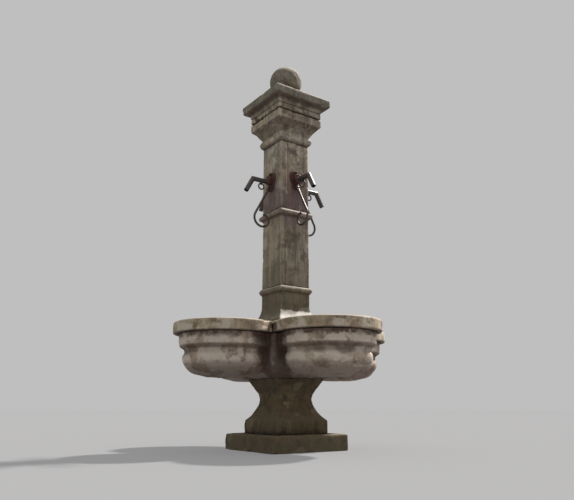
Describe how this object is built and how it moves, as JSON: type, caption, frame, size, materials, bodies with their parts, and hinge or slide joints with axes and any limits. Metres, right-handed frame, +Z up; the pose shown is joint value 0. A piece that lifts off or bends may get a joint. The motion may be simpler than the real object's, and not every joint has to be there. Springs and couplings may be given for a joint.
{
  "type": "drinking fountain",
  "caption": "Stone drinking fountain: square shaft with ball finial in a lobed basin on a pedestal, with pull-lever taps and hanging cup rings.",
  "frame": {"origin": "centre of the plinth's underside, on the ground", "axes": "+Z up, -Y the front face; X and Y square to the shaft's faces"},
  "size_m": [1.544, 1.544, 2.687],
  "materials": {
    "shaft_stone": "weathered limestone, streaked",
    "basin_stone": "weathered limestone with lichen and lime scale",
    "rim_stone": "weathered limestone, worn smooth",
    "foot_stone": "damp stone, dark with algae",
    "dark_iron": "blackened wrought iron",
    "rusty_iron": "cast iron, rusted",
    "brass": "dull cast brass",
    "galvanised_steel": "galvanised",
    "spring_steel": "bright"
  },
  "bodies": {
    "fountain": {"ball_finial": "shaft_stone", "basin": "basin_stone", "capital": "shaft_stone", "coping_front": "rim_stone", "coping_left": "rim_stone", "coping_rear": "rim_stone", "coping_right": "rim_stone", "cornice": "shaft_stone", "drain_plug": "brass", "escutcheon_front": "rusty_iron", "escutcheon_left": "rusty_iron", "escutcheon_rear": "rusty_iron", "escutcheon_right": "rusty_iron", "finial_pin": "dark_iron", "grille_screws": "brass", "lever_pins": "dark_iron", "manifold": "brass", "overflow_grille": "brass", "pedestal": "foot_stone", "plate_nuts": "rusty_iron", "plinth": "foot_stone", "rim_cramps": "dark_iron", "riser_pipe": "galvanised_steel", "shaft_base": "shaft_stone", "shaft_lower": "shaft_stone", "shaft_upper": "shaft_stone", "spout_front": "dark_iron", "spout_left": "dark_iron", "spout_rear": "dark_iron", "spout_right": "dark_iron", "stone_dowels": "dark_iron", "supply_socket": "galvanised_steel", "valve_body_front": "brass", "valve_body_left": "brass", "valve_body_rear": "brass", "valve_body_right": "brass", "valve_spring_front": "spring_steel", "valve_spring_left": "spring_steel", "valve_spring_rear": "spring_steel", "valve_spring_right": "spring_steel"},
    "lever_right": {"lever_right": "dark_iron"},
    "valve_stem_right": {"valve_stem_right": "brass"},
    "cup_ring_right": {"cup_ring_right": "dark_iron"},
    "lever_rear": {"lever_rear": "dark_iron"},
    "valve_stem_rear": {"valve_stem_rear": "brass"},
    "cup_ring_rear": {"cup_ring_rear": "dark_iron"},
    "lever_left": {"lever_left": "dark_iron"},
    "valve_stem_left": {"valve_stem_left": "brass"},
    "cup_ring_left": {"cup_ring_left": "dark_iron"},
    "lever_front": {"lever_front": "dark_iron"},
    "valve_stem_front": {"valve_stem_front": "brass"},
    "cup_ring_front": {"cup_ring_front": "dark_iron"}
  },
  "joints": [
    {"name": "lever_right_pull", "type": "hinge", "parent": "fountain", "child": "lever_right", "pos_m": [0.144, 0, 1.712], "axis": [0, -1, 0], "range_deg": [0, 20], "stiffness_Nm_per_rad": 4, "springref_deg": -11.46},
    {"name": "valve_stem_right_slide", "type": "slide", "parent": "fountain", "child": "valve_stem_right", "axis": [-1, 0, 0], "range_m": [0, 0.0063], "deforming": ["valve_spring_right"]},
    {"name": "cup_ring_right_swing", "type": "hinge", "parent": "fountain", "child": "cup_ring_right", "pos_m": [0.203, 0, 1.742], "axis": [1, 0, 0], "range_deg": [-80, 80]},
    {"name": "lever_rear_pull", "type": "hinge", "parent": "fountain", "child": "lever_rear", "pos_m": [0, 0.144, 1.712], "axis": [1, 0, 0], "range_deg": [0, 20], "stiffness_Nm_per_rad": 4, "springref_deg": -11.46},
    {"name": "valve_stem_rear_slide", "type": "slide", "parent": "fountain", "child": "valve_stem_rear", "axis": [0, -1, 0], "range_m": [0, 0.0063], "deforming": ["valve_spring_rear"]},
    {"name": "cup_ring_rear_swing", "type": "hinge", "parent": "fountain", "child": "cup_ring_rear", "pos_m": [0, 0.203, 1.742], "axis": [0, 1, 0], "range_deg": [-80, 80]},
    {"name": "lever_left_pull", "type": "hinge", "parent": "fountain", "child": "lever_left", "pos_m": [-0.144, 0, 1.712], "axis": [0, 1, 0], "range_deg": [0, 20], "stiffness_Nm_per_rad": 4, "springref_deg": -11.46},
    {"name": "valve_stem_left_slide", "type": "slide", "parent": "fountain", "child": "valve_stem_left", "axis": [1, 0, 0], "range_m": [0, 0.0063], "deforming": ["valve_spring_left"]},
    {"name": "cup_ring_left_swing", "type": "hinge", "parent": "fountain", "child": "cup_ring_left", "pos_m": [-0.203, 0, 1.742], "axis": [-1, 0, 0], "range_deg": [-80, 80]},
    {"name": "lever_front_pull", "type": "hinge", "parent": "fountain", "child": "lever_front", "pos_m": [0, -0.144, 1.712], "axis": [-1, 0, 0], "range_deg": [0, 20], "stiffness_Nm_per_rad": 4, "springref_deg": -11.46},
    {"name": "valve_stem_front_slide", "type": "slide", "parent": "fountain", "child": "valve_stem_front", "axis": [0, 1, 0], "range_m": [0, 0.0063], "deforming": ["valve_spring_front"]},
    {"name": "cup_ring_front_swing", "type": "hinge", "parent": "fountain", "child": "cup_ring_front", "pos_m": [0, -0.203, 1.742], "axis": [0, -1, 0], "range_deg": [-80, 80]}
  ],
  "couplings": [
    {"joint": "valve_stem_right_slide", "follows": "lever_right_pull", "m_per_rad": 0.018},
    {"joint": "valve_stem_rear_slide", "follows": "lever_rear_pull", "m_per_rad": 0.018},
    {"joint": "valve_stem_left_slide", "follows": "lever_left_pull", "m_per_rad": 0.018},
    {"joint": "valve_stem_front_slide", "follows": "lever_front_pull", "m_per_rad": 0.018}
  ]
}
